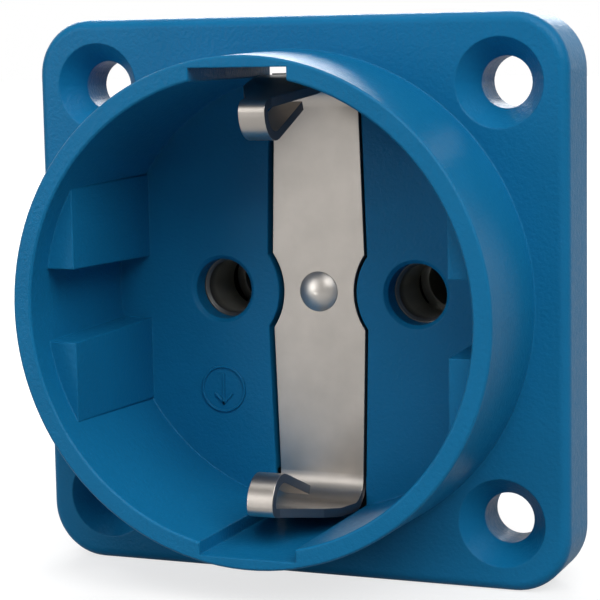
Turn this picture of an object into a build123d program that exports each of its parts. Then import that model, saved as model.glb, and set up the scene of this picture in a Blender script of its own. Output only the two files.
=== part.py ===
"""Panel socket outlet with two round pin holes and side earth clips, in millimetres.

A square flange carries a round collar with a deep recess. A stamped earth strap lies in
the recess floor and turns forward into two sprung clips, one above and one below. Behind
the floor an insulating carrier holds the two contact sleeves, the earth bracket and three
screw terminals.

Frame: X to the right, Y from the face towards the back, Z up. The origin is the centre of
the four fixing holes on the flange's back face.
"""

import os
from math import asin, atan, cos, degrees, pi, radians, sin

from build123d import *

os.makedirs("parts", exist_ok=True)

# Flange and its fixing holes
flange_size = 50.0
flange_thickness = 6.3
flange_corner_radius = 5.0
flange_edge_radius = 0.9
hole_pitch = 38.0
fixing_hole_radius = 2.25
countersink_radius = 3.9
countersink_depth = 2.45

# Collar and recess
collar_height = 11.7
collar_root_radius = 22.04
collar_rim_radius = 21.77
rim_edge_chamfer = 0.15
recess_radius = 20.1
recess_depth = 17.4
floor_thickness = 2.2

# Flat guide ribs inside the recess, two on each side
guide_setback = 2.8
guide_face_front = 17.2
guide_face_back = 16.9
guide_inner_height = 3.2
guide_outer_height = 10.35
guide_draft = 0.25

# Pin holes and the pins they take
pin_spacing = 19.0
pin_hole_radius = 2.8
pin_hole_chamfer = 0.35
pin_reach = 19.0
pin_tip_clearance = 1.2

# Grooves in the collar wall for the earth clips
groove_side_clearance = 0.35
groove_outer_clearance = 0.75
back_pocket_side_clearance = 1.0
back_pocket_lap = 0.2
back_pocket_lip = 0.4

# Earth strap and its clips, all one stamping
strap_thickness = 0.8
strap_sink = 0.3
strap_shoulder_half_width = 4.47
strap_end_half_width = 4.1
strap_waist_radius = 6.1
strap_window_gap = 0.4
bend_radius = 3.0
bend_lead = 0.4
arm_root_height = 20.0
arm_knee_setback = 6.1
arm_knee_drop = 0.38
arm_knee_radius = 4.0
arm_nose_drop = 2.2
arm_front_half_width = 3.43
arm_taper_setback = 6.41
arm_taper_length = 4.83
clip_setback = 2.92
clip_nose_half_width = 1.2
clip_lip_drop = 4.54
clip_tip_length = 8.88
clip_tip_rise = 3.53
clip_bottom_radius = 1.0
clip_top_radius = 2.5
clip_side_gap = 0.5

# Domed rivet through the strap
dome_radius = 1.85
dome_height = 0.65
rivet_shank_radius = 1.5
rivet_tail_radius = 2.5
rivet_tail_height = 1.2
rivet_tail_y = 7.0

# Contact carrier behind the floor
carrier_radius = 19.2
carrier_edge_chamfer = 0.6
carrier_floor_gap = 0.05
key_half_width = 5.0
key_depth = 2.0
key_root_lap = 2.4
upper_key_setback = 0.15
lower_key_extra = 0.6
pad_setback = 0.6
sleeve_pocket_radius = 3.95
sleeve_pocket_end = 16.8
pin_well_radius = 2.9
plate_slot_clearance = 0.1
chamber_half_width = 3.3
rivet_well_radius = 3.2
screw_head_cover = 0.5

# Contact sleeves
sleeve_inner_radius = 2.5
sleeve_mouth_radius = 2.75
sleeve_relief_radius = 2.95
sleeve_outer_radius = 3.3
sleeve_start_y = 1.75
sleeve_end_y = 16.7
sleeve_window_start = 7.7
sleeve_window_end = 10.5
sleeve_window_angle = 116.0
sleeve_slit_width = 0.8

# Spring rings around the sleeves
ring_start_y = 3.2
ring_end_y = 6.0
ring_inner_radius = 3.35
ring_outer_radius = 3.85
ring_gap_angle = 60.0

# Terminal plates, clamps and screws
plate_thickness = 1.0
plate_rear_y = 14.6
plate_half_width = 3.6
plate_end_overlap = 3.6
thread_neck_radius = 2.6
thread_neck_length = 1.2
pole_terminal_height = -9.0
earth_terminal_height = 9.6
clamp_half_width = 3.0
clamp_thickness = 1.2
clamp_rib_height = 0.35
clamp_travel = 3.0
stack_gap = 0.05
washer_inner_radius = 1.85
washer_outer_radius = 2.9
washer_thickness = 0.8
washer_split_width = 0.7
screw_radius = 1.6
screw_clearance = 0.06
screw_head_radius = 3.0
screw_head_height = 2.2
screw_head_chamfer = 0.5
screw_length = 8.4
screw_point_chamfer = 0.3
drive_width = 0.9
drive_length = 4.0
drive_depth = 1.1

# Earth bracket between the strap and its terminal
bracket_half_width = 3.0
bracket_foot_height = -2.6
bracket_leg_height = 6.0
bracket_bend_radius = 1.6

# Screws that hold the carrier to two pillars on the floor's back
pillar_inset = 7.2
pillar_z = 9.6
pillar_radius = 2.6
pillar_end_y = 9.5
pillar_clearance = 0.15
pilot_radius = 1.2
pilot_depth = 7.0
shelf_y = 12.0
shelf_hole_radius = 1.6
fixing_screw_radius = 1.15
fixing_screw_length = 8.5
fixing_head_radius = 2.8
fixing_head_height = 1.9
fixing_well_radius = 3.0

# Places that follow from the sizes above
flange_front_y = -flange_thickness
rim_y = flange_front_y - collar_height
floor_y = rim_y + recess_depth
floor_back_y = floor_y + floor_thickness
strap_front_y = floor_y + strap_sink
strap_back_y = strap_front_y + strap_thickness
guide_front_y = rim_y + guide_setback
plate_front_y = plate_rear_y - plate_thickness
clamp_front_y = plate_rear_y + stack_gap
clamp_rear_y = clamp_front_y + clamp_thickness
washer_rear_y = clamp_rear_y + washer_thickness
head_seat_y = washer_rear_y + stack_gap
carrier_back_y = head_seat_y + screw_head_height + clamp_travel + screw_head_cover
floor_disc_radius = carrier_radius
pillar_x = carrier_radius - pillar_inset
pin_well_end = floor_y + pin_reach + pin_tip_clearance
pin_half_spacing = pin_spacing / 2
strap_shoulder_height = strap_waist_radius * sin(
    pi / 2 - asin((pin_half_spacing - strap_shoulder_half_width) / strap_waist_radius)
)
strap_end_height = arm_root_height - bend_radius - bend_lead
arm_root_y = strap_back_y - bend_radius
arm_knee_y = strap_back_y - arm_knee_setback
arm_knee_height = arm_root_height - arm_knee_drop
arm_nose_height = arm_root_height - arm_nose_drop
clip_nose_y = rim_y + clip_setback
clip_lip_height = arm_nose_height - clip_lip_drop
clip_tip_y = clip_nose_y + clip_tip_length
clip_tip_height = clip_lip_height + clip_tip_rise
arm_taper_start_y = clip_nose_y + arm_taper_setback
arm_taper_end_y = arm_taper_start_y - arm_taper_length
groove_half_width = strap_end_half_width + groove_side_clearance
groove_reach = arm_root_height + groove_outer_clearance
back_pocket_half_width = strap_end_half_width + back_pocket_side_clearance
back_pocket_start = strap_end_height + back_pocket_lap
back_pocket_front_y = floor_y + back_pocket_lip
key_root_height = carrier_radius - key_root_lap
upper_key_height = arm_root_height - upper_key_setback
lower_key_height = arm_root_height + lower_key_extra


def facing_front(y):
    """Return the plane at depth y that faces the viewer, with local axes X and Z."""
    return Plane.XZ.offset(-y)


def half_width_at(height):
    """Return the strap's half width at a height beyond its shoulders."""
    slope = (strap_shoulder_half_width - strap_end_half_width) / (strap_end_height - strap_shoulder_height)
    return strap_shoulder_half_width - slope * (height - strap_shoulder_height)


def strap_outline(end_height):
    """Return the strap's flat outline, waisted around both pin holes, up to a height."""
    end_half_width = half_width_at(end_height)
    waist_half_width = pin_half_spacing - strap_waist_radius
    with BuildSketch() as outline:
        with BuildLine():
            Line((end_half_width, -end_height), (strap_shoulder_half_width, -strap_shoulder_height))
            ThreePointArc(
                (strap_shoulder_half_width, -strap_shoulder_height),
                (waist_half_width, 0),
                (strap_shoulder_half_width, strap_shoulder_height),
            )
            Line((strap_shoulder_half_width, strap_shoulder_height), (end_half_width, end_height))
            Line((end_half_width, end_height), (-end_half_width, end_height))
            Line((-end_half_width, end_height), (-strap_shoulder_half_width, strap_shoulder_height))
            ThreePointArc(
                (-strap_shoulder_half_width, strap_shoulder_height),
                (-waist_half_width, 0),
                (-strap_shoulder_half_width, -strap_shoulder_height),
            )
            Line((-strap_shoulder_half_width, -strap_shoulder_height), (-end_half_width, -end_height))
            Line((-end_half_width, -end_height), (end_half_width, -end_height))
        make_face()
    return outline.sketch


def sheet_strip(points, corner_radii, thickness, side):
    """Return the side view of a bent strip, drawn along one of its faces."""
    with BuildSketch() as strip:
        with BuildLine():
            FilletPolyline(*points, radius=corner_radii)
            offset(amount=thickness, side=side)
        make_face()
    return strip.sketch


# Housing: flange, collar, recess floor and rear pillars in one moulding
with BuildPart() as housing:
    with BuildSketch(facing_front(0)):
        RectangleRounded(flange_size, flange_size, flange_corner_radius)
    extrude(amount=flange_thickness)
    fillet(housing.faces().sort_by(Axis.Y)[0].edges(), flange_edge_radius)
    # Collar, turned about Y and slightly narrower at its rim
    with BuildSketch(Plane.XY):
        with BuildLine():
            Polyline(
                (0, flange_front_y),
                (collar_root_radius, flange_front_y),
                (collar_rim_radius, rim_y + rim_edge_chamfer),
                (collar_rim_radius - rim_edge_chamfer, rim_y),
                (0, rim_y),
                (0, flange_front_y),
            )
        make_face()
    revolve(axis=Axis.Y)
    with BuildSketch(facing_front(floor_back_y)):
        Circle(floor_disc_radius)
    extrude(amount=floor_back_y)
    # Recess
    with BuildSketch(Plane.XY):
        with BuildLine():
            Polyline(
                (0, floor_y),
                (recess_radius, floor_y),
                (recess_radius, rim_y + rim_edge_chamfer),
                (recess_radius + rim_edge_chamfer, rim_y),
                (0, rim_y),
                (0, floor_y),
            )
        make_face()
    revolve(axis=Axis.Y, mode=Mode.SUBTRACT)
    # Guide ribs, slightly wider at the floor so that they leave the mould
    rib_length = floor_y - guide_front_y
    rib_draft = degrees(atan((guide_face_front - guide_face_back) / rib_length))
    rib_inner_height = guide_inner_height - guide_draft
    rib_outer_height = guide_outer_height + guide_draft
    rib_wall_reach = recess_radius + 0.6
    rib_width = rib_wall_reach - guide_face_back
    rib_height = rib_outer_height - rib_inner_height
    with BuildSketch(facing_front(floor_y)):
        for side_x in (-1, 1):
            for side_z in (-1, 1):
                rib_centre_x = side_x * (guide_face_back + rib_width / 2)
                rib_centre_z = side_z * (rib_inner_height + rib_height / 2)
                with Locations((rib_centre_x, rib_centre_z)):
                    Rectangle(rib_width, rib_height)
        with BuildSketch(mode=Mode.INTERSECT):
            Circle(recess_radius + 0.7)
    extrude(amount=rib_length, taper=rib_draft)
    # Pillars for the carrier screws
    with BuildSketch(facing_front(pillar_end_y)):
        with Locations((-pillar_x, pillar_z), (pillar_x, pillar_z)):
            Circle(pillar_radius)
    extrude(amount=pillar_end_y - floor_back_y)
    with BuildSketch(facing_front(pillar_end_y)):
        with Locations((-pillar_x, pillar_z), (pillar_x, pillar_z)):
            Circle(pilot_radius)
    extrude(amount=pilot_depth, mode=Mode.SUBTRACT)
    # Grooves for the earth clips, wider and open to the back behind a lip of the floor
    groove_height = groove_reach - back_pocket_start
    groove_centre_height = groove_reach - groove_height / 2
    for side_z in (-1, 1):
        with BuildSketch(facing_front(rim_y - 1)):
            with Locations((0, side_z * groove_centre_height)):
                Rectangle(2 * groove_half_width, groove_height)
        extrude(amount=-(floor_back_y - rim_y + 2), mode=Mode.SUBTRACT)
        with BuildSketch(facing_front(back_pocket_front_y)):
            with Locations((0, side_z * groove_centre_height)):
                Rectangle(2 * back_pocket_half_width, groove_height)
        extrude(amount=-(floor_back_y + 1 - back_pocket_front_y), mode=Mode.SUBTRACT)
    # Window for the strap
    with BuildSketch(facing_front(floor_y - 0.5)):
        add(strap_outline(strap_end_height))
        offset(amount=strap_window_gap, kind=Kind.INTERSECTION)
    extrude(amount=-(floor_thickness + 1), mode=Mode.SUBTRACT)
    # Pin holes with a broken edge
    with Locations(facing_front(floor_y)):
        with Locations((-pin_half_spacing, 0), (pin_half_spacing, 0)):
            CounterSinkHole(
                radius=pin_hole_radius,
                counter_sink_radius=pin_hole_radius + pin_hole_chamfer,
                depth=floor_thickness + 1,
                counter_sink_angle=90,
            )
    # Countersunk fixing holes
    countersink_angle = 2 * degrees(atan((countersink_radius - fixing_hole_radius) / countersink_depth))
    with Locations(facing_front(flange_front_y)):
        with GridLocations(hole_pitch, hole_pitch, 2, 2):
            CounterSinkHole(
                radius=fixing_hole_radius,
                counter_sink_radius=countersink_radius,
                depth=flange_thickness + 1,
                counter_sink_angle=countersink_angle,
            )
housing.part.label = "housing"
export_step(housing.part, "parts/housing.step")

# Earth strap: flat plate whose ends bend into two arms, each curled over into a clip
clip_points = [
    (strap_back_y, -strap_end_height),
    (strap_back_y, -arm_root_height),
    (arm_knee_y, -arm_knee_height),
    (clip_nose_y, -arm_nose_height),
    (clip_nose_y, -clip_lip_height),
    (clip_tip_y, -clip_tip_height),
]
clip_radii = (bend_radius, arm_knee_radius, clip_bottom_radius, clip_top_radius)
with BuildPart() as earth_strap:
    with BuildSketch(facing_front(strap_back_y)):
        add(strap_outline(strap_end_height))
    extrude(amount=strap_thickness)
    with BuildSketch(Plane.YZ):
        add(sheet_strip(clip_points, clip_radii, strap_thickness, Side.RIGHT))
    extrude(amount=strap_end_half_width, both=True)
    # Seen from above the arms narrow slightly, then taper to the clip's nose
    with BuildSketch(Plane.XY.offset(-arm_root_height - 1)):
        with BuildLine():
            Polyline(
                (strap_end_half_width, arm_root_y),
                (arm_front_half_width, arm_taper_start_y),
                (clip_nose_half_width, arm_taper_end_y),
                (clip_nose_half_width, clip_nose_y - 1),
                (strap_end_half_width + 1, clip_nose_y - 1),
                (strap_end_half_width + 1, arm_root_y),
                (strap_end_half_width, arm_root_y),
            )
        make_face()
        mirror(about=Plane.YZ)
    extrude(amount=arm_root_height + 1 - clip_lip_height + 1, mode=Mode.SUBTRACT)
    # The curled end keeps the nose's width, apart from the wider arm beyond it
    with BuildSketch(Plane.YZ.offset(clip_nose_half_width)):
        with BuildLine():
            Polyline(
                (arm_taper_end_y, -clip_lip_height + 1),
                (arm_taper_end_y, -arm_nose_height + strap_thickness + clip_side_gap),
                (clip_tip_y + 1, -arm_knee_height + strap_thickness + clip_side_gap),
                (clip_tip_y + 1, -clip_lip_height + 1),
                (arm_taper_end_y, -clip_lip_height + 1),
            )
        make_face()
    extrude(amount=strap_end_half_width, mode=Mode.SUBTRACT)
    mirror(about=Plane.YZ, mode=Mode.INTERSECT)
    mirror(about=Plane.XY)
    with BuildSketch(facing_front(strap_back_y)):
        Circle(rivet_shank_radius)
    extrude(amount=strap_thickness, mode=Mode.SUBTRACT)
earth_strap.part.label = "earth_strap"
export_step(earth_strap.part, "parts/earth_strap.step")

# Domed rivet: turned about Y, its head in front of the strap
cap_radius = (dome_radius**2 + dome_height**2) / (2 * dome_height)
cap_half_angle = asin(dome_radius / cap_radius) / 2
cap_centre_y = strap_front_y - dome_height + cap_radius
with BuildPart() as strap_rivet:
    with BuildSketch(Plane.XY):
        with BuildLine():
            ThreePointArc(
                (0, strap_front_y - dome_height),
                (cap_radius * sin(cap_half_angle), cap_centre_y - cap_radius * cos(cap_half_angle)),
                (dome_radius, strap_front_y),
            )
            Polyline(
                (dome_radius, strap_front_y),
                (rivet_shank_radius, strap_front_y),
                (rivet_shank_radius, rivet_tail_y),
                (rivet_tail_radius, rivet_tail_y),
                (rivet_tail_radius - 0.4, rivet_tail_y + rivet_tail_height),
                (0, rivet_tail_y + rivet_tail_height),
                (0, strap_front_y - dome_height),
            )
        make_face()
    revolve(axis=Axis.Y)
strap_rivet.part.label = "strap_rivet"
export_step(strap_rivet.part, "parts/strap_rivet.step")

# Contact carrier: insulating block with a pocket for each contact and a chamber for each terminal
carrier_front_y = floor_back_y + carrier_floor_gap
slot_half_width = plate_half_width + plate_slot_clearance
pole_slot_end = pole_terminal_height - plate_end_overlap - plate_slot_clearance
inner_bend_radius = bracket_bend_radius - plate_thickness
earth_slot_start = bracket_leg_height - plate_thickness - inner_bend_radius - plate_slot_clearance
earth_slot_end = earth_terminal_height + plate_end_overlap + plate_slot_clearance
with BuildPart() as contact_carrier:
    with BuildSketch(facing_front(carrier_back_y)):
        Circle(carrier_radius)
    extrude(amount=carrier_back_y - carrier_front_y)
    chamfer(contact_carrier.faces().sort_by(Axis.Y)[-1].edges(), carrier_edge_chamfer)
    # Keys behind the clip grooves, the lower one taller so that the carrier fits one way round
    with BuildSketch(facing_front(carrier_front_y)):
        for side_z, key_height in ((1, upper_key_height), (-1, lower_key_height)):
            with Locations((0, side_z * (key_root_height + key_height) / 2)):
                Rectangle(2 * key_half_width, key_height - key_root_height)
    extrude(amount=-key_depth)
    # Pad that stands in the floor's window and backs the strap
    with BuildSketch(facing_front(carrier_front_y)):
        add(strap_outline(strap_end_height - pad_setback))
    extrude(amount=carrier_front_y - strap_back_y)
    # Foot and leg of the earth bracket
    foot_height = bracket_leg_height - bracket_foot_height + 2 * plate_slot_clearance
    with BuildSketch(facing_front(strap_back_y)):
        with Locations((0, bracket_foot_height - plate_slot_clearance + foot_height / 2)):
            Rectangle(2 * (bracket_half_width + plate_slot_clearance), foot_height)
    extrude(amount=-plate_thickness, mode=Mode.SUBTRACT)
    with BuildSketch(facing_front(strap_back_y)):
        with Locations((0, (earth_slot_start + earth_slot_end) / 2)):
            Rectangle(2 * slot_half_width, earth_slot_end - earth_slot_start)
    extrude(amount=-(plate_rear_y - strap_back_y), mode=Mode.SUBTRACT)
    # Sleeve pockets, the slots for their plates and the wells for the pin tips
    with BuildSketch(facing_front(carrier_front_y)):
        with Locations((-pin_half_spacing, 0), (pin_half_spacing, 0)):
            Circle(sleeve_pocket_radius)
    extrude(amount=-(sleeve_pocket_end - carrier_front_y), mode=Mode.SUBTRACT)
    with BuildSketch(facing_front(carrier_front_y)):
        with Locations((-pin_half_spacing, pole_slot_end / 2), (pin_half_spacing, pole_slot_end / 2)):
            Rectangle(2 * slot_half_width, -pole_slot_end)
    extrude(amount=-(plate_rear_y - carrier_front_y), mode=Mode.SUBTRACT)
    with BuildSketch(facing_front(sleeve_pocket_end)):
        with Locations((-pin_half_spacing, 0), (pin_half_spacing, 0)):
            Circle(pin_well_radius)
    extrude(amount=-(pin_well_end - sleeve_pocket_end), mode=Mode.SUBTRACT)
    # Terminal chambers, open at the back and at the wire's side
    pole_chamber_top = pole_terminal_height + chamber_half_width
    earth_chamber_bottom = earth_terminal_height - chamber_half_width
    with BuildSketch(facing_front(carrier_back_y)):
        for side_x in (-1, 1):
            with Locations((side_x * pin_half_spacing, (pole_chamber_top - carrier_radius) / 2)):
                Rectangle(2 * chamber_half_width, pole_chamber_top + carrier_radius)
        with Locations((0, (earth_chamber_bottom + carrier_radius + 1) / 2)):
            Rectangle(2 * chamber_half_width, carrier_radius + 1 - earth_chamber_bottom)
    extrude(amount=carrier_back_y - plate_rear_y, mode=Mode.SUBTRACT)
    # Rivet hole and the well that lets the tool reach its tail
    with BuildSketch(facing_front(carrier_back_y)):
        Circle(rivet_well_radius)
    extrude(amount=carrier_back_y - rivet_tail_y, mode=Mode.SUBTRACT)
    with BuildSketch(facing_front(carrier_back_y)):
        Circle(rivet_shank_radius)
    extrude(amount=carrier_back_y, mode=Mode.SUBTRACT)
    # Pillar wells and the stepped holes for the carrier screws
    for depth, reach, radius in (
        (carrier_front_y, carrier_front_y - pillar_end_y - 0.1, pillar_radius + pillar_clearance),
        (carrier_back_y, carrier_back_y - shelf_y, fixing_well_radius),
        (carrier_back_y, carrier_back_y - pillar_end_y, shelf_hole_radius),
    ):
        with BuildSketch(facing_front(depth)):
            with Locations((-pillar_x, pillar_z), (pillar_x, pillar_z)):
                Circle(radius)
        extrude(amount=reach, mode=Mode.SUBTRACT)
contact_carrier.part.label = "contact_carrier"
export_step(contact_carrier.part, "parts/contact_carrier.step")

# Contact sleeves: rolled sleeve with side windows and a terminal plate below it
for pole, side_x in (("line", -1), ("neutral", 1)):
    sleeve_x = side_x * pin_half_spacing
    with BuildPart() as contact:
        with BuildSketch(facing_front(sleeve_end_y)):
            with Locations((sleeve_x, 0)):
                Circle(sleeve_outer_radius)
        extrude(amount=sleeve_end_y - sleeve_start_y)
        with BuildSketch(facing_front(plate_rear_y)):
            plate_end = pole_terminal_height - plate_end_overlap
            with Locations((sleeve_x, (plate_end - 2.6) / 2)):
                Rectangle(2 * plate_half_width, -plate_end - 2.6)
        extrude(amount=plate_thickness)
        with BuildSketch(facing_front(plate_front_y)):
            with Locations((sleeve_x, pole_terminal_height)):
                Circle(thread_neck_radius)
        extrude(amount=thread_neck_length)
        with BuildSketch(facing_front(sleeve_end_y)):
            with Locations((sleeve_x, pole_terminal_height)):
                Circle(screw_radius + screw_clearance)
        extrude(amount=sleeve_end_y, mode=Mode.SUBTRACT)
        with BuildSketch(facing_front(sleeve_start_y)):
            with Locations((sleeve_x, 0)):
                Circle(sleeve_inner_radius)
        extrude(amount=-(sleeve_end_y - sleeve_start_y), mode=Mode.SUBTRACT)
        # Relief inside the leaves, between the two stretches that guide the pin
        with BuildSketch(facing_front(sleeve_window_start)):
            with Locations((sleeve_x, 0)):
                Circle(sleeve_relief_radius)
        extrude(amount=-(sleeve_window_end - sleeve_window_start), mode=Mode.SUBTRACT)
        # Flared mouth
        mouth_edge = contact.edges().filter_by(GeomType.CIRCLE).group_by(Axis.Y)[0].sort_by(SortBy.RADIUS)[0]
        chamfer(mouth_edge, sleeve_mouth_radius - sleeve_inner_radius)
        # Windows on both sides, which leave one leaf above and one below
        with BuildSketch(facing_front(sleeve_window_start)):
            with BuildSketch(mode=Mode.ADD):
                with Locations((sleeve_x, 0)):
                    Circle(sleeve_outer_radius + 0.2)
                    Circle(sleeve_inner_radius - 0.2, mode=Mode.SUBTRACT)
            leaf_half_width = sleeve_outer_radius * cos(radians(sleeve_window_angle / 2))
            with Locations((sleeve_x, 0)):
                Rectangle(2 * leaf_half_width, 2 * sleeve_outer_radius + 1, mode=Mode.SUBTRACT)
        extrude(amount=-(sleeve_window_end - sleeve_window_start), mode=Mode.SUBTRACT)
        # Slit along the top where the rolled edges meet
        with BuildSketch(facing_front(sleeve_start_y - 0.5)):
            with Locations((sleeve_x, sleeve_outer_radius)):
                Rectangle(sleeve_slit_width, 2 * (sleeve_outer_radius - sleeve_inner_radius) + 0.4)
        extrude(amount=-(sleeve_window_end - sleeve_start_y - 2), mode=Mode.SUBTRACT)
    contact.part.label = f"{pole}_contact"
    export_step(contact.part, f"parts/{pole}_contact.step")

    with BuildPart() as spring_ring:
        with BuildSketch(facing_front(ring_end_y)):
            with Locations((sleeve_x, 0)):
                Circle(ring_outer_radius)
                Circle(ring_inner_radius, mode=Mode.SUBTRACT)
            gap_width = 2 * ring_outer_radius * sin(radians(ring_gap_angle / 2))
            with Locations((sleeve_x, ring_outer_radius)):
                Rectangle(gap_width, ring_outer_radius, mode=Mode.SUBTRACT)
        extrude(amount=ring_end_y - ring_start_y)
    spring_ring.part.label = f"{pole}_spring_ring"
    export_step(spring_ring.part, f"parts/{pole}_spring_ring.step")

# Earth bracket: foot under the strap, leg through the carrier, threaded terminal plate
bracket_points = [
    (strap_back_y, bracket_foot_height),
    (strap_back_y, bracket_leg_height),
    (plate_front_y, bracket_leg_height),
    (plate_front_y, earth_terminal_height + plate_end_overlap),
]
with BuildPart() as earth_terminal_bracket:
    with BuildSketch(Plane.YZ):
        strip_radii = (bracket_bend_radius, inner_bend_radius)
        add(sheet_strip(bracket_points, strip_radii, plate_thickness, Side.RIGHT))
    extrude(amount=bracket_half_width, both=True)
    with BuildSketch(facing_front(plate_rear_y)):
        with Locations((0, earth_terminal_height)):
            Rectangle(2 * plate_half_width, 2 * plate_end_overlap)
    extrude(amount=plate_thickness)
    with BuildSketch(facing_front(plate_front_y)):
        with Locations((0, earth_terminal_height)):
            Circle(thread_neck_radius)
    extrude(amount=thread_neck_length)
    with BuildSketch(facing_front(plate_rear_y)):
        with Locations((0, earth_terminal_height)):
            Circle(screw_radius + screw_clearance)
    extrude(amount=plate_thickness + thread_neck_length, mode=Mode.SUBTRACT)
    with BuildSketch(facing_front(strap_back_y)):
        Circle(rivet_shank_radius)
    extrude(amount=-plate_thickness, mode=Mode.SUBTRACT)
earth_terminal_bracket.part.label = "earth_terminal_bracket"
export_step(earth_terminal_bracket.part, "parts/earth_terminal_bracket.step")

# Terminals: a clamp plate, a split washer and a screw for each pole
terminals = {
    "line": (-pin_half_spacing, pole_terminal_height),
    "neutral": (pin_half_spacing, pole_terminal_height),
    "earth": (0, earth_terminal_height),
}
for pole, centre in terminals.items():
    with BuildPart() as clamp_plate:
        with BuildSketch(facing_front(clamp_rear_y)):
            with Locations(centre):
                RectangleRounded(2 * clamp_half_width, 2 * clamp_half_width, 0.5)
                Circle(screw_radius + screw_clearance, mode=Mode.SUBTRACT)
        extrude(amount=clamp_thickness)
        # Grip grooves across the face that presses on the wire
        with BuildSketch(facing_front(clamp_front_y)):
            for groove in (-2.1, 0, 2.1):
                with Locations((centre[0] + groove, centre[1])):
                    Rectangle(0.5, 2 * clamp_half_width)
        extrude(amount=-clamp_rib_height, mode=Mode.SUBTRACT)
    clamp_plate.part.label = f"{pole}_clamp_plate"
    export_step(clamp_plate.part, f"parts/{pole}_clamp_plate.step")

    with BuildPart() as lock_washer:
        with BuildSketch(facing_front(washer_rear_y)):
            with Locations(centre):
                Circle(washer_outer_radius)
                Circle(washer_inner_radius, mode=Mode.SUBTRACT)
            with Locations((centre[0] + washer_outer_radius, centre[1])):
                Rectangle(washer_outer_radius, washer_split_width, rotation=20, mode=Mode.SUBTRACT)
        extrude(amount=washer_thickness)
    lock_washer.part.label = f"{pole}_lock_washer"
    export_step(lock_washer.part, f"parts/{pole}_lock_washer.step")

    with BuildPart() as terminal_screw:
        with BuildSketch(facing_front(head_seat_y)):
            with Locations(centre):
                Circle(screw_radius)
        extrude(amount=screw_length)
        chamfer(terminal_screw.faces().sort_by(Axis.Y)[0].edges(), screw_point_chamfer)
        with BuildSketch(facing_front(head_seat_y)):
            with Locations(centre):
                Circle(screw_head_radius)
        extrude(amount=-screw_head_height)
        chamfer(terminal_screw.faces().sort_by(Axis.Y)[-1].edges(), screw_head_chamfer)
        # Combined slot and cross drive
        with BuildSketch(facing_front(head_seat_y + screw_head_height)):
            with Locations(centre):
                Rectangle(2 * screw_head_radius + 1, drive_width)
                Rectangle(drive_width, drive_length)
        extrude(amount=drive_depth, mode=Mode.SUBTRACT)
    terminal_screw.part.label = f"{pole}_terminal_screw"
    export_step(terminal_screw.part, f"parts/{pole}_terminal_screw.step")

# Screws that hold the carrier
for place, side_x in (("left", -1), ("right", 1)):
    with BuildPart() as carrier_screw:
        with BuildSketch(facing_front(shelf_y)):
            with Locations((side_x * pillar_x, pillar_z)):
                Circle(fixing_screw_radius)
        extrude(amount=fixing_screw_length)
        chamfer(carrier_screw.faces().sort_by(Axis.Y)[0].edges(), 0.4)
        with BuildSketch(facing_front(shelf_y)):
            with Locations((side_x * pillar_x, pillar_z)):
                Circle(fixing_head_radius)
        extrude(amount=-fixing_head_height)
        chamfer(carrier_screw.faces().sort_by(Axis.Y)[-1].edges(), screw_head_chamfer)
        with BuildSketch(facing_front(shelf_y + fixing_head_height)):
            with Locations((side_x * pillar_x, pillar_z)):
                Rectangle(3.0, 0.7)
                Rectangle(0.7, 3.0)
        extrude(amount=drive_depth, mode=Mode.SUBTRACT)
    carrier_screw.part.label = f"carrier_screw_{place}"
    export_step(carrier_screw.part, f"parts/carrier_screw_{place}.step")
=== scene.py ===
"""Panel socket outlet: finishes, turned screws, small moulded details, light and camera.

Everything is in metres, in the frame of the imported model: X to the right, Y from the face
to the back, Z up, with the origin in the middle of the four fixing holes.
"""

import logging
import math
from dataclasses import dataclass, field
from enum import Enum
from typing import Sequence

import bmesh
import bpy
from mathutils import Matrix, Vector


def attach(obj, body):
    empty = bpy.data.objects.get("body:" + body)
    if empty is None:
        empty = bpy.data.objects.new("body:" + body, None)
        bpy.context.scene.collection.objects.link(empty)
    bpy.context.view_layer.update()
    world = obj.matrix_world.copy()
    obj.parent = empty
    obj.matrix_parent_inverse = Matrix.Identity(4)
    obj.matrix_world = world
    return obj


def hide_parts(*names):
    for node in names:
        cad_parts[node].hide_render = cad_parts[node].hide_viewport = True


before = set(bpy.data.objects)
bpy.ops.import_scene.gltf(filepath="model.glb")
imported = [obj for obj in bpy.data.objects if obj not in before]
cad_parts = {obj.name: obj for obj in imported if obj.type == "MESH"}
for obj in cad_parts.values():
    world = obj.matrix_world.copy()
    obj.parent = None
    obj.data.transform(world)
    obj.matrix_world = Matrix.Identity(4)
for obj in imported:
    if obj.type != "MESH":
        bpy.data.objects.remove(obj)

MM = 0.001
SHARP_FROM = math.radians(35)
ON_AXIS = 1e-9

Pair = tuple[float, float]
Triple = tuple[float, float, float]
Colour = tuple[float, float, float]
Socket = bpy.types.NodeSocket
Ring = list[bmesh.types.BMVert]

log = logging.getLogger("panel_socket")


class Slot(Enum):
    """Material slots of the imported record."""

    HOUSING = "housing_plastic"
    CARRIER = "carrier_plastic"
    NICKEL = "nickel_plate"
    RIVET = "rivet_steel"
    CONTACT = "contact_metal"
    BRASS = "brass"
    SPRING = "spring_steel"
    ZINC = "zinc_steel"
    SCREW = "screw_steel"


class Drive(Enum):
    """How a screw's head is driven."""

    SLOT_AND_CROSS = "slot and cross"
    CROSS = "cross"


class Ramp(Enum):
    """How a value runs from one level to the other."""

    STRAIGHT = "LINEAR"
    SMOOTH = "SMOOTHSTEP"


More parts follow.
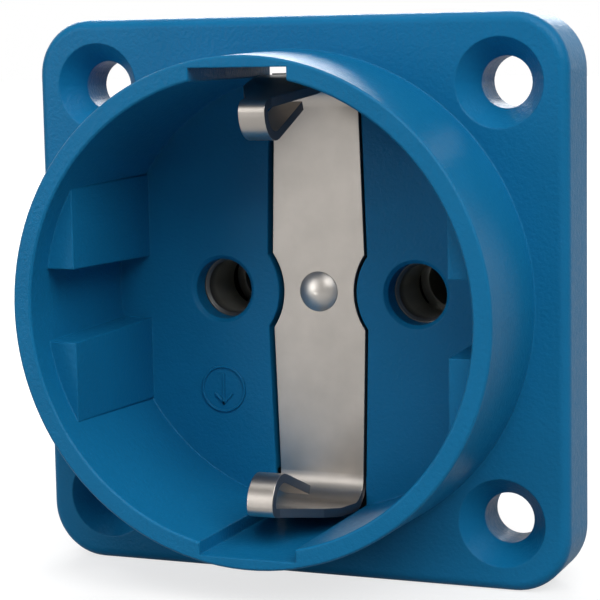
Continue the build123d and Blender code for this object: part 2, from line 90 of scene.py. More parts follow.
class NodeSheet:
    """A node tree, with short calls that add, join and combine nodes."""

    def __init__(self, tree: bpy.types.NodeTree) -> None:
        """Work on the node tree of a material or of the world."""
        self.tree = tree

    def add(self, kind: str, **values: object) -> bpy.types.Node:
        """Add a node.

        Args:
            kind: The node's type.
            values: Input values by socket name, with underscores for spaces, or properties.

        Returns:
            The new node.
        """
        node = self.tree.nodes.new(kind)
        for key, value in values.items():
            socket = node.inputs.get(key.replace("_", " "))
            if socket is not None:
                socket.default_value = value
            else:
                setattr(node, key, value)
        return node

    def join(self, out: Socket, into: Socket) -> None:
        """Join an output to an input."""
        self.tree.links.new(out, into)

    def worked(self, operation: str, *terms: Socket | float) -> Socket:
        """Work out a number from others.

        Args:
            operation: What is done with them.
            terms: Outputs or plain numbers, in the order that the operation takes them.

        Returns:
            The result.
        """
        node = self.add("ShaderNodeMath", operation=operation)
        for term, into in zip(terms, node.inputs):
            if isinstance(term, float):
                into.default_value = term
            else:
                self.join(term, into)
        return node.outputs[0]

    def ranged(self, value: Socket, ends: Pair, levels: Pair, ramp: Ramp = Ramp.STRAIGHT) -> Socket:
        """Map a value to new levels and hold it beyond its ends.

        Args:
            value: The value.
            ends: Where the ramp starts and stops.
            levels: What it gives at each end.
            ramp: How it runs between them.

        Returns:
            The mapped value.
        """
        node = self.add("ShaderNodeMapRange", interpolation_type=ramp.value)
        for name, number in zip(("From Min", "From Max", "To Min", "To Max"), (*ends, *levels)):
            node.inputs[name].default_value = number
        self.join(value, node.inputs["Value"])
        return node.outputs["Result"]

    def component(self, vector: Socket, axis: str) -> Socket:
        """Take one number from a vector.

        Args:
            vector: The vector.
            axis: X, Y or Z.

        Returns:
            Its value along that axis.
        """
        split = self.add("ShaderNodeSeparateXYZ")
        self.join(vector, split.inputs[0])
        return split.outputs[axis]


class FinishSheet(NodeSheet):
    """The node tree of one material, with the patterns that the finishes share."""

    NOISE_ROUGHNESS = 0.55
    USUAL_NOISE = (0.3, 0.7)
    SIDEWAYS = (0.80, 0.92)
    EDGE_SAMPLES = 8

    def __init__(self, name: str) -> None:
        """Start a material that holds only its shader and output.

        Args:
            name: The material's name.
        """
        self.material = bpy.data.materials.new(name)
        self.material.use_nodes = True
        super().__init__(self.material.node_tree)
        self.shader = self.tree.nodes["Principled BSDF"]

    def place(self, stretch: Triple = (1.0, 1.0, 1.0)) -> Socket:
        """Read the piece's own coordinates.

        Args:
            stretch: How much they are stretched along each axis.

        Returns:
            The coordinates.
        """
        where = self.add("ShaderNodeTexCoord")
        scaled = self.add("ShaderNodeMapping")
        scaled.inputs["Scale"].default_value = stretch
        self.join(where.outputs["Object"], scaled.inputs["Vector"])
        return scaled.outputs["Vector"]

    def noise(self, at: Socket, per_metre: float, layers: float) -> Socket:
        """Make a noise between 0 and 1.

        Args:
            at: The coordinates to read it at.
            per_metre: Its features per metre.
            layers: How many finer layers it holds.

        Returns:
            The noise's value.
        """
        roughness = self.NOISE_ROUGHNESS
        node = self.add("ShaderNodeTexNoise", Scale=per_metre, Detail=layers, Roughness=roughness)
        self.join(at, node.inputs["Vector"])
        return node.outputs["Fac"]

    def spread(self, noise: Socket, levels: Pair = (0.0, 1.0)) -> Socket:
        """Return a noise spread from its usual range to two levels."""
        return self.ranged(noise, self.USUAL_NOISE, levels)

    def mixed(self, share: Socket, first: Socket | Colour, second: Colour) -> Socket:
        """Mix two colours.

        Args:
            share: The second colour's share, from 0 to 1.
            first: A joined or a written colour.
            second: A written colour.

        Returns:
            The mixed colour.
        """
        node = self.add("ShaderNodeMix", data_type="RGBA")
        self.join(share, node.inputs["Factor"])
        if isinstance(first, tuple):
            node.inputs["A"].default_value = (*first, 1.0)
        else:
            self.join(first, node.inputs["A"])
        node.inputs["B"].default_value = (*second, 1.0)
        return node.outputs["Result"]

    def in_front(self, fade: Pair) -> Socket:
        """Return 1 in front of the first depth along Y, falling to 0 at the second."""
        return self.ranged(self.component(self.place(), "Y"), fade, (1.0, 0.0))

    def facing_sideways(self) -> Socket:
        """Find where the surface faces along X, as a strip's cut edges do.

        Returns:
            1 there, and 0 elsewhere.
        """
        where = self.add("ShaderNodeTexCoord")
        size = self.worked("ABSOLUTE", self.component(where.outputs["Normal"], "X"))
        return self.ranged(size, self.SIDEWAYS, (0.0, 1.0))

    def grain(self, heights: Sequence[tuple[Socket, float]], edge: float) -> None:
        """Bump the surface and soften its edges.

        Args:
            heights: Height fields with the depth of each, in metres.
            edge: Radius of the softened edges, in metres.
        """
        rounding = self.add("ShaderNodeBevel", samples=self.EDGE_SAMPLES, Radius=edge)
        normal = rounding.outputs["Normal"]
        for height, depth in heights:
            bump = self.add("ShaderNodeBump", Strength=1.0, Distance=depth)
            self.join(height, bump.inputs["Height"])
            self.join(normal, bump.inputs["Normal"])
            normal = bump.outputs["Normal"]
        self.join(normal, self.shader.inputs["Normal"])


@dataclass(frozen=True)
class PlasticFinish:
    """A moulded plastic with an eroded grain in two sizes and faint clouds of colour."""

    name: str
    light: Colour
    dark: Colour
    roughness: Pair
    grain_per_metre: float
    grain_depth: float
    edge: float
    specular: float
    grain_layers: float = 4.0
    coarser_by: float = 1.9
    coarse_layers: float = 2.0
    coarse_share: float = 0.5
    clouds_per_metre: float = 90.0
    cloud_layers: float = 3.0

    def make(self) -> bpy.types.Material:
        """Make the material.

        Returns:
            The material.
        """
        sheet = FinishSheet(self.name)
        at = sheet.place()
        fine = sheet.noise(at, self.grain_per_metre, self.grain_layers)
        coarse = sheet.noise(at, self.grain_per_metre / self.coarser_by, self.coarse_layers)
        clouds = sheet.noise(at, self.clouds_per_metre, self.cloud_layers)
        colour = sheet.mixed(sheet.spread(clouds), self.dark, self.light)
        sheet.join(colour, sheet.shader.inputs["Base Color"])
        sheet.join(sheet.spread(coarse, self.roughness), sheet.shader.inputs["Roughness"])
        sheet.shader.inputs["Specular IOR Level"].default_value = self.specular
        heights = ((coarse, self.grain_depth * self.coarse_share), (fine, self.grain_depth))
        sheet.grain(heights, self.edge)
        return sheet.material


@dataclass(frozen=True)
class MetalFinish:
    """A metal with drawn or turned lines, fine specks and faint clouds of colour.

    The lines are counted per metre along each axis. A strip's cut edges, which face along X, can be
    darker and rougher: partly a duller sheared edge, partly painted shade. A piece can have
    painted shade in front of a depth along Y, as at a sleeve's mouth.
    """

    name: str
    bright: Colour
    dull: Colour
    roughness: Pair
    lines: Triple
    line_depth: float
    edge: float
    metallic: float = 1.0
    sheared_edge_and_shade: Colour | None = None
    sheared_roughness: float = 0.2
    painted_mouth_shade: Colour | None = None
    painted_mouth_shade_fade: Pair = (0.0, 0.0)
    line_layers: float = 4.0
    specks_per_metre: float = 5200.0
    speck_layers: float = 2.0
    speck_share: float = 0.5
    clouds_per_metre: float = 260.0
    cloud_layers: float = 4.0

    def make(self) -> bpy.types.Material:
        """Make the material.

        Returns:
            The material.
        """
        sheet = FinishSheet(self.name)
        lines = sheet.noise(sheet.place(self.lines), 1.0, self.line_layers)
        at = sheet.place()
        clouds = sheet.noise(at, self.clouds_per_metre, self.cloud_layers)
        specks = sheet.noise(at, self.specks_per_metre, self.speck_layers)
        colour = sheet.mixed(sheet.spread(clouds), self.dull, self.bright)
        rough = sheet.spread(lines, self.roughness)
        # faces along X turn darker and rougher: partly a duller sheared edge, partly painted shade
        if self.sheared_edge_and_shade:
            cut = sheet.facing_sideways()
            colour = sheet.mixed(cut, colour, self.sheared_edge_and_shade)
            rough = sheet.worked("MULTIPLY_ADD", cut, self.sheared_roughness, rough)
        # painted shade: the colour turns dark in front of a depth along Y
        if self.painted_mouth_shade:
            colour = sheet.mixed(sheet.in_front(self.painted_mouth_shade_fade), colour, self.painted_mouth_shade)
        sheet.join(colour, sheet.shader.inputs["Base Color"])
        sheet.join(rough, sheet.shader.inputs["Roughness"])
        sheet.shader.inputs["Metallic"].default_value = self.metallic
        heights = ((specks, self.line_depth * self.speck_share), (lines, self.line_depth))
        sheet.grain(heights, self.edge)
        return sheet.material


FINISHES: dict[Slot, PlasticFinish | MetalFinish] = {
    Slot.HOUSING: PlasticFinish(
        name="blue_moulding",
        light=(0.0062, 0.168, 0.366),
        dark=(0.0052, 0.152, 0.332),
        roughness=(0.31, 0.39),
        grain_per_metre=3300.0,
        grain_depth=0.050 * MM,
        edge=0.22 * MM,
        specular=0.13,
    ),
    Slot.CARRIER: PlasticFinish(
        name="black_moulding",
        light=(0.020, 0.020, 0.022),
        dark=(0.014, 0.014, 0.015),
        roughness=(0.42, 0.55),
        grain_per_metre=4200.0,
        grain_depth=0.012 * MM,
        edge=0.12 * MM,
        specular=0.45,
    ),
    Slot.NICKEL: MetalFinish(
        name="nickel_sheet",
        bright=(0.645, 0.595, 0.545),
        dull=(0.56, 0.52, 0.475),
        roughness=(0.335, 0.355),
        lines=(4200.0, 40.0, 40.0),
        line_depth=0.0006 * MM,
        edge=0.10 * MM,
        # the strap's cut edges are darker: partly a duller sheared edge, partly painted shade
        sheared_edge_and_shade=(0.24, 0.24, 0.25),
    ),
    Slot.RIVET: MetalFinish(
        name="rivet_head",
        bright=(0.78, 0.73, 0.67),
        dull=(0.66, 0.62, 0.57),
        roughness=(0.38, 0.43),
        lines=(900.0, 900.0, 900.0),
        line_depth=0.002 * MM,
        edge=0.06 * MM,
    ),
    Slot.CONTACT: MetalFinish(
        name="contact_nickel",
        bright=(0.72, 0.72, 0.67),
        dull=(0.60, 0.59, 0.52),
        roughness=(0.40, 0.50),
        lines=(900.0, 90.0, 900.0),
        line_depth=0.004 * MM,
        edge=0.08 * MM,
        metallic=0.85,
        # painted shade at the sleeve's mouth: dark in front of 2.2 mm along Y, fading out by 3.4 mm
        painted_mouth_shade=(0.19, 0.19, 0.185),
        painted_mouth_shade_fade=(2.2 * MM, 3.4 * MM),
    ),
    Slot.BRASS: MetalFinish(
        name="brass_sheet",
        bright=(0.72, 0.50, 0.20),
        dull=(0.57, 0.38, 0.15),
        roughness=(0.28, 0.36),
        lines=(3000.0, 60.0, 60.0),
        line_depth=0.0012 * MM,
        edge=0.10 * MM,
    ),
    Slot.SPRING: MetalFinish(
        name="spring_steel",
        bright=(0.26, 0.26, 0.28),
        dull=(0.16, 0.16, 0.18),
        roughness=(0.30, 0.40),
        lines=(900.0, 900.0, 900.0),
        line_depth=0.0015 * MM,
        edge=0.06 * MM,
    ),
    Slot.ZINC: MetalFinish(
        name="zinc_pressing",
        bright=(0.62, 0.64, 0.67),
        dull=(0.52, 0.54, 0.58),
        roughness=(0.32, 0.40),
        lines=(700.0, 700.0, 700.0),
        line_depth=0.0015 * MM,
        edge=0.10 * MM,
    ),
    Slot.SCREW: MetalFinish(
        name="zinc_turning",
        bright=(0.64, 0.65, 0.68),
        dull=(0.54, 0.55, 0.58),
        roughness=(0.26, 0.33),
        lines=(600.0, 3600.0, 600.0),
        line_depth=0.001 * MM,
        edge=0.08 * MM,
    ),
}


class Workshop:
    """Makes each finish once and hands it to pieces."""

    def __init__(self) -> None:
        """Start with no finish made."""
        self._made: dict[Slot, bpy.types.Material] = {}

    def finish(self, slot: Slot) -> bpy.types.Material:
        """Make a slot's material the first time it is asked for.

        Args:
            slot: The record's material slot.

        Returns:
            The material.
        """
        if slot not in self._made:
            self._made[slot] = FINISHES[slot].make()
        return self._made[slot]

    def dress(self, piece: bpy.types.Object, slot: Slot) -> None:
        """Give a piece its slot's finish."""
        piece.data.materials.clear()
        piece.data.materials.append(self.finish(slot))

    def dress_node(self, node: str, slot: Slot) -> None:
        """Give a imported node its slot's finish and report it."""
        self.dress(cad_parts[node], slot)
        log.info("%s wears %s", node, slot.value)


def mesh_piece(name: str, mesh: bpy.types.Mesh, body: str, slot: Slot, shop: Workshop) -> bpy.types.Object:
    """Link a finished mesh as a piece that rides on a body.

    Args:
        name: The piece's name.
        mesh: Its mesh, already in place.
        body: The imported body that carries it.
        slot: The record's material slot.
        shop: Where its finish comes from.

    Returns:
        The piece.
    """
    piece = bpy.data.objects.new(name, mesh)
    bpy.context.scene.collection.objects.link(piece)
    for face in mesh.polygons:
        face.use_smooth = True
    mesh.set_sharp_from_angle(angle=SHARP_FROM)
    shop.dress(piece, slot)
    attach(piece, body)
    log.info("%s rides on %s", name, body)
    return piece


def as_mesh(name: str, work: bmesh.types.BMesh) -> bpy.types.Mesh:
    """Turn finished work into a mesh.

    Args:
        name: The mesh's name.
        work: The work, which is freed.

    Returns:
        The mesh.
    """
    mesh = bpy.data.meshes.new(name)
    work.to_mesh(mesh)
    work.free()
    return mesh


def bridge(work: bmesh.types.BMesh, near: Ring, far: Ring) -> None:
    """Join two rings of points with faces.

    Args:
        work: The mesh being made.
        near: The first ring's points, or the one point that it ends in.
        far: The second ring's points, or the one point that it ends in.
    """
    steps = max(len(near), len(far))
    for k in range(steps):
        n = (k + 1) % steps
        corners = (near[k % len(near)], near[n % len(near)], far[n % len(far)], far[k % len(far)])
        work.faces.new(list(dict.fromkeys(corners)))


def turned(name: str, outline: Sequence[Pair], steps: int) -> bpy.types.Mesh:
    """Turn an outline about Y.

    Args:
        name: The mesh's name.
        outline: Radius and Y of each ring, in metres, from one end on the axis to the other.
        steps: Sides of each ring.

    Returns:
        The closed mesh, centred on the Y axis.
    """
    work = bmesh.new()
    rings: list[Ring] = []
    for radius, y in outline:
        if radius < ON_AXIS:
            rings.append([work.verts.new((0.0, y, 0.0))])
            continue
        turn = (2 * math.pi * k / steps for k in range(steps))
        rings.append([work.verts.new((radius * math.cos(a), y, radius * math.sin(a))) for a in turn])
    for near, far in zip(rings, rings[1:]):
        bridge(work, near, far)
    bmesh.ops.recalc_face_normals(work, faces=work.faces)
    return as_mesh(name, work)


def cut_away(target: bpy.types.Mesh, tools: Sequence[bpy.types.Mesh]) -> bpy.types.Mesh:
    """Cut the volume of each tool from a mesh.

    Args:
        target: The mesh to cut.
        tools: Closed meshes that lie where they cut.

    Returns:
        What is left of the target.
    """
    body = bpy.data.objects.new("blank", target)
    bpy.context.scene.collection.objects.link(body)
    cutters = []
    for tool in tools:
        cutter = bpy.data.objects.new("cutter", tool)
        bpy.context.scene.collection.objects.link(cutter)
        step = body.modifiers.new("cut", "BOOLEAN")
        step.operation, step.solver, step.object = "DIFFERENCE", "EXACT", cutter
        cutters.append(cutter)
    bpy.context.view_layer.update()
    graph = bpy.context.evaluated_depsgraph_get()
    done = bpy.data.meshes.new_from_object(body.evaluated_get(graph))
    for spent in (body, *cutters):
        bpy.data.objects.remove(spent)
    return done


def block(size: Triple, centre: Triple) -> bpy.types.Mesh:
    """Make a block, used only as a cutting tool.

    Args:
        size: Its size along each axis, in metres.
        centre: Its middle, in metres.

    Returns:
        The block.
    """
    work = bmesh.new()
    fitted = Matrix.Translation(centre) @ Matrix.Diagonal((*size, 1.0))
    bmesh.ops.create_cube(work, size=1.0, matrix=fitted)
    return as_mesh("tool", work)


def joined(name: str, parts: Sequence[bpy.types.Mesh], shift: Triple) -> bpy.types.Mesh:
    """Join several meshes into one and move it.

    Args:
        name: The mesh's name.
        parts: The meshes.
        shift: How far it moves along each axis, in metres.

    Returns:
        The joined mesh.
    """
    work = bmesh.new()
    for part in parts:
        work.from_mesh(part)
    bmesh.ops.translate(work, verts=work.verts, vec=Vector(shift))
    return as_mesh(name, work)


@dataclass
class Screw:
    """A turned screw with a rolled thread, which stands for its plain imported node.

    The chamfer over the head is an arc, flattened by what arc_share leaves out. The thread
    rises over run_in pitches below the head, and over the point the shank narrows by
    point_taper of its radius. A crest_fullness above 1 leaves a flat crest.
    """

    node: str
    body: str
    place: Pair
    seat_y: float
    drive: Drive
    major_radius: float
    thread_depth: float
    pitch: float
    length: float
    head_radius: float
    head_height: float
    head_chamfer: float
    point: float
    drive_width: float
    cross_length: float
    drive_depth: float = 1.1 * MM
    overcut: float = 0.1 * MM
    slot_overrun: float = 0.5 * MM
    foot_chamfer: float = 0.08 * MM
    arc_share: float = 0.96
    arc_steps: int = 5
    head_steps: int = 72
    shank_steps: int = 48
    rows_per_turn: int = 10
    run_in: float = 0.8
    crest_fullness: float = 1.35
    point_taper: float = 0.45

    def head(self) -> bpy.types.Mesh:
        """Make the head, with its drive cut into it.

        Returns:
            The head, with its seat at Y 0.
        """
        r, h, c = self.head_radius, self.head_height, self.head_chamfer
        foot = self.foot_chamfer
        outline = [(0.0, 0.0), (r - foot, 0.0), (r, foot), (r, h - c)]
        for k in range(1, self.arc_steps + 1):
            share = k / self.arc_steps
            a = math.pi / 2 * share
            reach = self.arc_share * math.cos(a) + (1 - self.arc_share) * (1 - share)
            outline.append((r - c + c * reach, h - c + c * math.sin(a)))
        outline.append((0.0, h))
        blank = turned("head", outline, self.head_steps)
        tall = self.drive_depth + 2 * self.overcut
        middle = (0.0, h - self.drive_depth / 2 + self.overcut, 0.0)
        slotted = self.drive is Drive.SLOT_AND_CROSS
        through = 2 * (r + self.slot_overrun) if slotted else self.cross_length
        tools = [
            block((through, tall, self.drive_width), middle),
            block((self.drive_width, tall, self.cross_length), middle),
        ]
        return cut_away(blank, tools)

    def shank(self) -> bpy.types.Mesh:
        """Make the shank, with a thread that rises below the head and narrows at the point.

        Returns:
            The shank, from Y 0 towards the front.
        """
        rows = int(self.length / self.pitch * self.rows_per_turn)
        work = bmesh.new()
        rings: list[Ring] = []
        for row in range(rows + 1):
            along = self.length * row / rows
            lead = min(1.0, along / (self.run_in * self.pitch))
            tail = min(1.0, (self.length - along) / self.point)
            narrowed = (1.0 - tail) * self.point_taper * self.major_radius
            ring: Ring = []
            for k in range(self.shank_steps):
                turn = k / self.shank_steps
                off_crest = abs((along / self.pitch + turn) % 1.0 - 0.5)
                crest = min(1.0, max(0.0, self.crest_fullness * (1.0 - 2.0 * off_crest)))
                radius = self.major_radius - self.thread_depth * (1.0 - crest * lead) - narrowed
                a = 2 * math.pi * turn
                ring.append(work.verts.new((radius * math.cos(a), -along, radius * math.sin(a))))
            rings.append(ring)
        for near, far in zip(rings, rings[1:]):
            bridge(work, near, far)
        work.faces.new(rings[0])
        work.faces.new(list(reversed(rings[-1])))
        bmesh.ops.recalc_face_normals(work, faces=work.faces)
        return as_mesh("shank", work)

    def build(self, shop: Workshop) -> None:
        """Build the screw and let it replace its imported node.

        Args:
            shop: Where its finish comes from.
        """
        x, z = self.place
        name = self.node + "_turned"
        mesh = joined(name, (self.head(), self.shank()), (x, self.seat_y, z))
        piece = mesh_piece(name, mesh, self.body, Slot.SCREW, shop)
        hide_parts(self.node)


@dataclass
class DateDial:
    """The plain date dial that the mould leaves in the recess floor: an arrow in a ring.

    Its lines have sloped sides, so that their tops are top_share as wide as their feet. A
    stroke's foot and top run on past its ends by their share of the line's width.
    """

    centre: Pair = (-9.6 * MM, -9.4 * MM)
    floor_y: float = -0.6 * MM
    radius: float = 2.1 * MM
    ring_steps: int = 64
    line_width: float = 0.28 * MM
    top_share: float = 0.7
    relief: float = 0.16 * MM
    sunk: float = 0.04 * MM
    arrow_reach: float = 1.35 * MM
    barb_side: float = 0.8 * MM
    barb_back: float = 0.85 * MM
    foot_overrun: float = 0.5
    top_overrun: float = 0.3

    def _ring(self, work: bmesh.types.BMesh) -> None:
        """Add the raised ring.

        Args:
            work: The mesh being made.
        """
        foot = self.line_width / 2
        top = foot * self.top_share
        section = ((-foot, self.sunk), (-top, -self.relief), (top, -self.relief), (foot, self.sunk))
        rings: list[Ring] = []
        for k in range(self.ring_steps):
            a = 2 * math.pi * k / self.ring_steps
            radii = ((self.radius + out, y) for out, y in section)
            rings.append([work.verts.new((r * math.cos(a), y, r * math.sin(a))) for r, y in radii])
        for near, far in zip(rings, rings[1:] + rings[:1]):
            bridge(work, near, far)

    def _stroke(self, work: bmesh.types.BMesh, start: Pair, end: Pair) -> None:
        """Add one raised stroke.

        Args:
            work: The mesh being made.
            start: X and Z of its start, from the dial's centre, in metres.
            end: X and Z of its end.
        """
        along = (Vector(end) - Vector(start)).normalized() * self.line_width
        across = Vector((-along.y, along.x)) / 2
        feet: Ring = []
        tops: Ring = []
        for point, way, side in ((start, -1, -1), (start, -1, 1), (end, 1, 1), (end, 1, -1)):
            foot = Vector(point) + across * side + along * way * self.foot_overrun
            top = Vector(point) + across * side * self.top_share + along * way * self.top_overrun
            feet.append(work.verts.new((foot.x, self.sunk, foot.y)))
            tops.append(work.verts.new((top.x, -self.relief, top.y)))
        work.faces.new(tops)
        work.faces.new(list(reversed(feet)))
        bridge(work, feet, tops)

    def mesh(self) -> bpy.types.Mesh:
        """Make the ring and the arrow, which points down.

        Returns:
            The dial, in its place on the recess floor.
        """
        work = bmesh.new()
        self._ring(work)
        barb_z = self.barb_back - self.arrow_reach
        for start in ((0.0, self.arrow_reach), (-self.barb_side, barb_z), (self.barb_side, barb_z)):
            self._stroke(work, start, (0.0, -self.arrow_reach))
        bmesh.ops.recalc_face_normals(work, faces=work.faces)
        x, z = self.centre
        bmesh.ops.translate(work, verts=work.verts, vec=(x, self.floor_y, z))
        return as_mesh("date_dial", work)

    def build(self, shop: Workshop) -> None:
        """Build the dial."""
        mesh_piece("date_dial", self.mesh(), "socket", Slot.HOUSING, shop)


@dataclass
class GrooveSill:
    """The low sill at the back of the lower groove, under the bend of the earth strap."""

    half_width: float = 4.5 * MM
    foot_z: float = -20.85 * MM
    top_z: float = -20.1 * MM
    front_y: float = -0.45 * MM
    back_y: float = -0.2 * MM
    chamfer: float = 0.12 * MM

    def mesh(self) -> bpy.types.Mesh:
        """Make the sill, with its front edge chamfered.

        Returns:
            The sill, in its place.
        """
        outline = (
            (self.front_y, self.foot_z),
            (self.back_y, self.foot_z),
            (self.back_y, self.top_z),
            (self.front_y + self.chamfer, self.top_z),
            (self.front_y, self.top_z - self.chamfer),
        )
        work = bmesh.new()
        sides = (-self.half_width, self.half_width)
        left, right = ([work.verts.new((x, y, z)) for y, z in outline] for x in sides)
        bridge(work, left, right)
        work.faces.new(left)
        work.faces.new(list(reversed(right)))
        bmesh.ops.recalc_face_normals(work, faces=work.faces)
        return as_mesh("lower_groove_sill", work)

    def build(self, shop: Workshop) -> None:
        """Build the sill."""
        mesh_piece("lower_groove_sill", self.mesh(), "socket", Slot.HOUSING, shop)


@dataclass
class Housing:
    """The blue moulding, with the two small details that its solid leaves out."""

    dial: DateDial = field(default_factory=DateDial)
    sill: GrooveSill = field(default_factory=GrooveSill)

    def build(self, shop: Workshop) -> None:
        """Dress the moulding and build its details.

        Args:
            shop: Where the finish comes from.
        """
        shop.dress_node("housing", Slot.HOUSING)
        self.dial.build(shop)
        self.sill.build(shop)


@dataclass
class Inserts:
    """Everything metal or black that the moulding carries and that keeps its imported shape."""

    wear: dict[str, Slot] = field(
        default_factory=lambda: {
            "earth_strap": Slot.NICKEL,
            "strap_rivet": Slot.RIVET,
            "contact_carrier": Slot.CARRIER,
            "line_contact": Slot.CONTACT,
            "neutral_contact": Slot.CONTACT,
            "line_spring_ring": Slot.SPRING,
            "neutral_spring_ring": Slot.SPRING,
            "earth_terminal_bracket": Slot.BRASS,
            "line_clamp_plate": Slot.ZINC,
            "neutral_clamp_plate": Slot.ZINC,
            "earth_clamp_plate": Slot.ZINC,
            "line_lock_washer": Slot.SPRING,
            "neutral_lock_washer": Slot.SPRING,
            "earth_lock_washer": Slot.SPRING,
        }
    )

    def build(self, shop: Workshop) -> None:
        """Dress every insert."""
        for node, slot in self.wear.items():
            shop.dress_node(node, slot)


@dataclass
class Screws:
    """The three terminal screws and the two that hold the carrier."""

    terminals: dict[str, Pair] = field(
        default_factory=lambda: {
            "line": (-9.5 * MM, -9.0 * MM),
            "neutral": (9.5 * MM, -9.0 * MM),
            "earth": (0.0, 9.6 * MM),
        }
    )
    carriers: dict[str, Pair] = field(
        default_factory=lambda: {"left": (-12.0 * MM, 9.6 * MM), "right": (12.0 * MM, 9.6 * MM)}
    )

    def build(self, shop: Workshop) -> None:
        """Build all five screws.

        Args:
            shop: Where their finish comes from.
        """
        for pole, place in self.terminals.items():
            Screw(
                node=f"{pole}_terminal_screw",
                body=f"{pole}_screw",
                place=place,
                seat_y=16.7 * MM,
                drive=Drive.SLOT_AND_CROSS,
                major_radius=1.6 * MM,
                thread_depth=0.3 * MM,
                pitch=0.6 * MM,
                length=8.4 * MM,
                head_radius=3.0 * MM,
                head_height=2.2 * MM,
                head_chamfer=0.5 * MM,
                point=0.5 * MM,
                drive_width=0.9 * MM,
                cross_length=4.0 * MM,
            ).build(shop)
        for side, place in self.carriers.items():
            Screw(
                node=f"carrier_screw_{side}",
                body="socket",
                place=place,
                seat_y=12.0 * MM,
                drive=Drive.CROSS,
                major_radius=1.15 * MM,
                thread_depth=0.25 * MM,
                pitch=1.0 * MM,
                length=8.5 * MM,
                head_radius=2.8 * MM,
                head_height=1.9 * MM,
                head_chamfer=0.5 * MM,
                point=1.2 * MM,
                drive_width=0.7 * MM,
                cross_length=3.0 * MM,
            ).build(shop)


class WorldSheet(NodeSheet):
    """The node tree of the world."""

    def lit(self, strength: Socket | float) -> Socket:
        """Make a white background.

        Args:
            strength: Its strength, joined or written.

        Returns:
            The background.
        """
        node = self.add("ShaderNodeBackground", Color=(1.0, 1.0, 1.0, 1.0))
        if isinstance(strength, float):
            node.inputs["Strength"].default_value = strength
        else:
            self.join(strength, node.inputs["Strength"])
        return node.outputs[0]

    def chosen(self, which: Socket, no: Socket, yes: Socket) -> Socket:
        """Choose one of two backgrounds.

        Args:
            which: 0 or 1.
            no: What 0 gives.
            yes: What 1 gives.

        Returns:
            The chosen background.
        """
        node = self.add("ShaderNodeMixShader")
        for out, into in zip((which, no, yes), node.inputs):
            self.join(out, into)
        return node.outputs[0]


@dataclass(frozen=True)
class Lamp:
    """A soft rectangular lamp that faces the object's origin."""

    name: str
    place: Triple
    size: Pair
    watts: float

    def hang(self) -> None:
        """Hang the lamp in the scene."""
        data = bpy.data.lights.new(self.name, "AREA")
        data.shape = "RECTANGLE"
        data.size, data.size_y = self.size
        data.energy = self.watts
        lamp = bpy.data.objects.new(self.name, data)
        lamp.location = self.place
        lamp.rotation_euler = (-Vector(self.place)).to_track_quat("-Z", "Y").to_euler()
        bpy.context.scene.collection.objects.link(lamp)


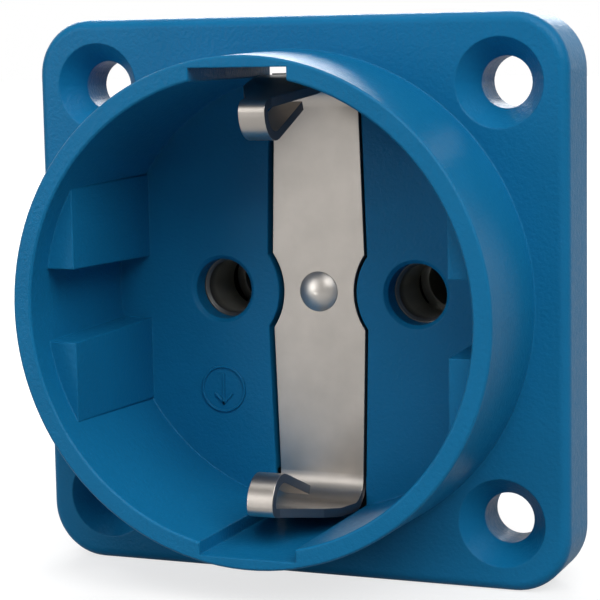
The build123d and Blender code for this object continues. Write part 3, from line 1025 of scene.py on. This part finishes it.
@dataclass
class Studio:
    """A white room with a dim front: backdrop, floor, soft lamps and the camera.

    The ambient light goes from its first to its second level over the ambient heights. Over
    a turn, a range along Y, what mirrors show goes from the front level to the back one. The
    floor glows less within the first shadow reach and is white beyond the second.
    """

    ambient: Pair = (0.008, 0.032)
    ambient_heights: Pair = (-0.6, 1.0)
    front_level: float = 0.18
    back_level: float = 1.0
    backdrop_turn: Pair = (-0.05, 0.30)
    floor_z: float = -25.0 * MM
    floor_side: float = 4.0
    floor_shade: Colour = (0.30, 0.30, 0.30)
    floor_roughness: float = 0.9
    floor_near_glow: float = 0.72
    floor_back_level: float = 0.22
    floor_turn: Pair = (-0.05, 0.05)
    shadow_reach: Pair = (27.0 * MM, 90.0 * MM)
    lamps: tuple[Lamp, ...] = (
        Lamp("key", place=(0.33, -0.35, 0.44), size=(0.64, 0.48), watts=3.85),
        Lamp("fill_left", place=(-0.42, -0.50, 0.05), size=(0.30, 0.50), watts=1.65),
        Lamp("top", place=(-0.02, -0.12, 0.60), size=(0.45, 0.35), watts=0.95),
        Lamp("front_left", place=(-0.30, -0.63, 0.40), size=(0.30, 0.22), watts=0.15),
        Lamp("back_top", place=(-0.20, 0.50, 0.29), size=(0.52, 0.20), watts=2.9),
    )
    camera_place: Triple = (69.24 * MM, -175.932 * MM, 23.225 * MM)
    camera_heading: float = math.radians(22.021)
    camera_rise: float = math.radians(7.257)
    camera_roll: float = math.radians(-1.078)
    camera_clip: Pair = (0.01, 20.0)
    lens_mm: float = 124.77
    sensor_mm: float = 36.0
    photo_px: float = 600.0
    shift_px: Pair = (-0.8, 0.65)

    def surroundings(self) -> None:
        """Make the world: white behind the object, a dim front, and soft ambient light."""
        world = bpy.data.worlds.new("white_room")
        bpy.context.scene.world = world
        world.use_nodes = True
        sheet = WorldSheet(world.node_tree)
        sheet.tree.nodes.clear()
        way = sheet.add("ShaderNodeTexCoord").outputs["Generated"]
        height, depth = sheet.component(way, "Z"), sheet.component(way, "Y")
        levels = (self.front_level, self.back_level)
        soft = sheet.lit(sheet.ranged(height, self.ambient_heights, self.ambient, Ramp.SMOOTH))
        backdrop = sheet.lit(sheet.ranged(depth, self.backdrop_turn, levels, Ramp.SMOOTH))
        rays = sheet.add("ShaderNodeLightPath").outputs
        shown = sheet.chosen(rays["Is Glossy Ray"], soft, backdrop)
        shown = sheet.chosen(rays["Is Transmission Ray"], shown, sheet.lit(1.0))
        shown = sheet.chosen(rays["Is Camera Ray"], shown, sheet.lit(1.0))
        sheet.join(shown, sheet.add("ShaderNodeOutputWorld").inputs["Surface"])

    def floor(self) -> None:
        """Lay a pale floor that keeps the object's shadow and turns white away from it."""
        bpy.ops.mesh.primitive_plane_add(size=self.floor_side, location=(0.0, 0.0, self.floor_z))
        ground = bpy.context.object
        ground.name = "studio_floor"
        sheet = FinishSheet("floor_paint")
        sheet.shader.inputs["Base Color"].default_value = (*self.floor_shade, 1.0)
        sheet.shader.inputs["Roughness"].default_value = self.floor_roughness
        sheet.shader.inputs["Emission Color"].default_value = (1.0, 1.0, 1.0, 1.0)
        away = sheet.add("ShaderNodeVectorMath", operation="LENGTH")
        sheet.join(sheet.place(), away.inputs[0])
        whiter = (self.floor_near_glow, 1.0)
        glow = sheet.ranged(away.outputs["Value"], self.shadow_reach, whiter)
        depth = sheet.component(sheet.place(), "Y")
        levels = (self.front_level, self.floor_back_level)
        mirrored = sheet.ranged(depth, self.floor_turn, levels)
        rays = sheet.add("ShaderNodeLightPath").outputs
        seen = sheet.worked("MULTIPLY", rays["Is Camera Ray"], glow)
        shown = sheet.worked("MULTIPLY_ADD", rays["Is Glossy Ray"], mirrored, seen)
        sheet.join(shown, sheet.shader.inputs["Emission Strength"])
        ground.data.materials.append(sheet.material)

    def camera(self) -> None:
        """Set the camera where the socket is seen from its right and slightly above."""
        data = bpy.data.cameras.new("camera")
        data.lens = self.lens_mm
        data.sensor_width = self.sensor_mm
        data.shift_x, data.shift_y = (px / self.photo_px for px in self.shift_px)
        data.clip_start, data.clip_end = self.camera_clip
        camera = bpy.data.objects.new("camera", data)
        camera.matrix_world = (
            Matrix.Translation(self.camera_place)
            @ Matrix.Rotation(self.camera_heading, 4, "Z")
            @ Matrix.Rotation(math.pi / 2 - self.camera_rise, 4, "X")
            @ Matrix.Rotation(self.camera_roll, 4, "Z")
        )
        bpy.context.scene.collection.objects.link(camera)
        bpy.context.scene.camera = camera

    def build(self) -> None:
        """Build the room, its lamps and the camera."""
        self.surroundings()
        self.floor()
        for lamp in self.lamps:
            lamp.hang()
        self.camera()
        bpy.context.scene.view_settings.view_transform = "Standard"
        log.info("studio ready")


def main() -> None:
    """Build every sub-assembly in order, then the studio."""
    logging.basicConfig(level=logging.INFO, format="%(name)s: %(message)s")
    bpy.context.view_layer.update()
    shop = Workshop()
    Housing().build(shop)
    Inserts().build(shop)
    Screws().build(shop)
    Studio().build()


if __name__ == "__main__":
    main()
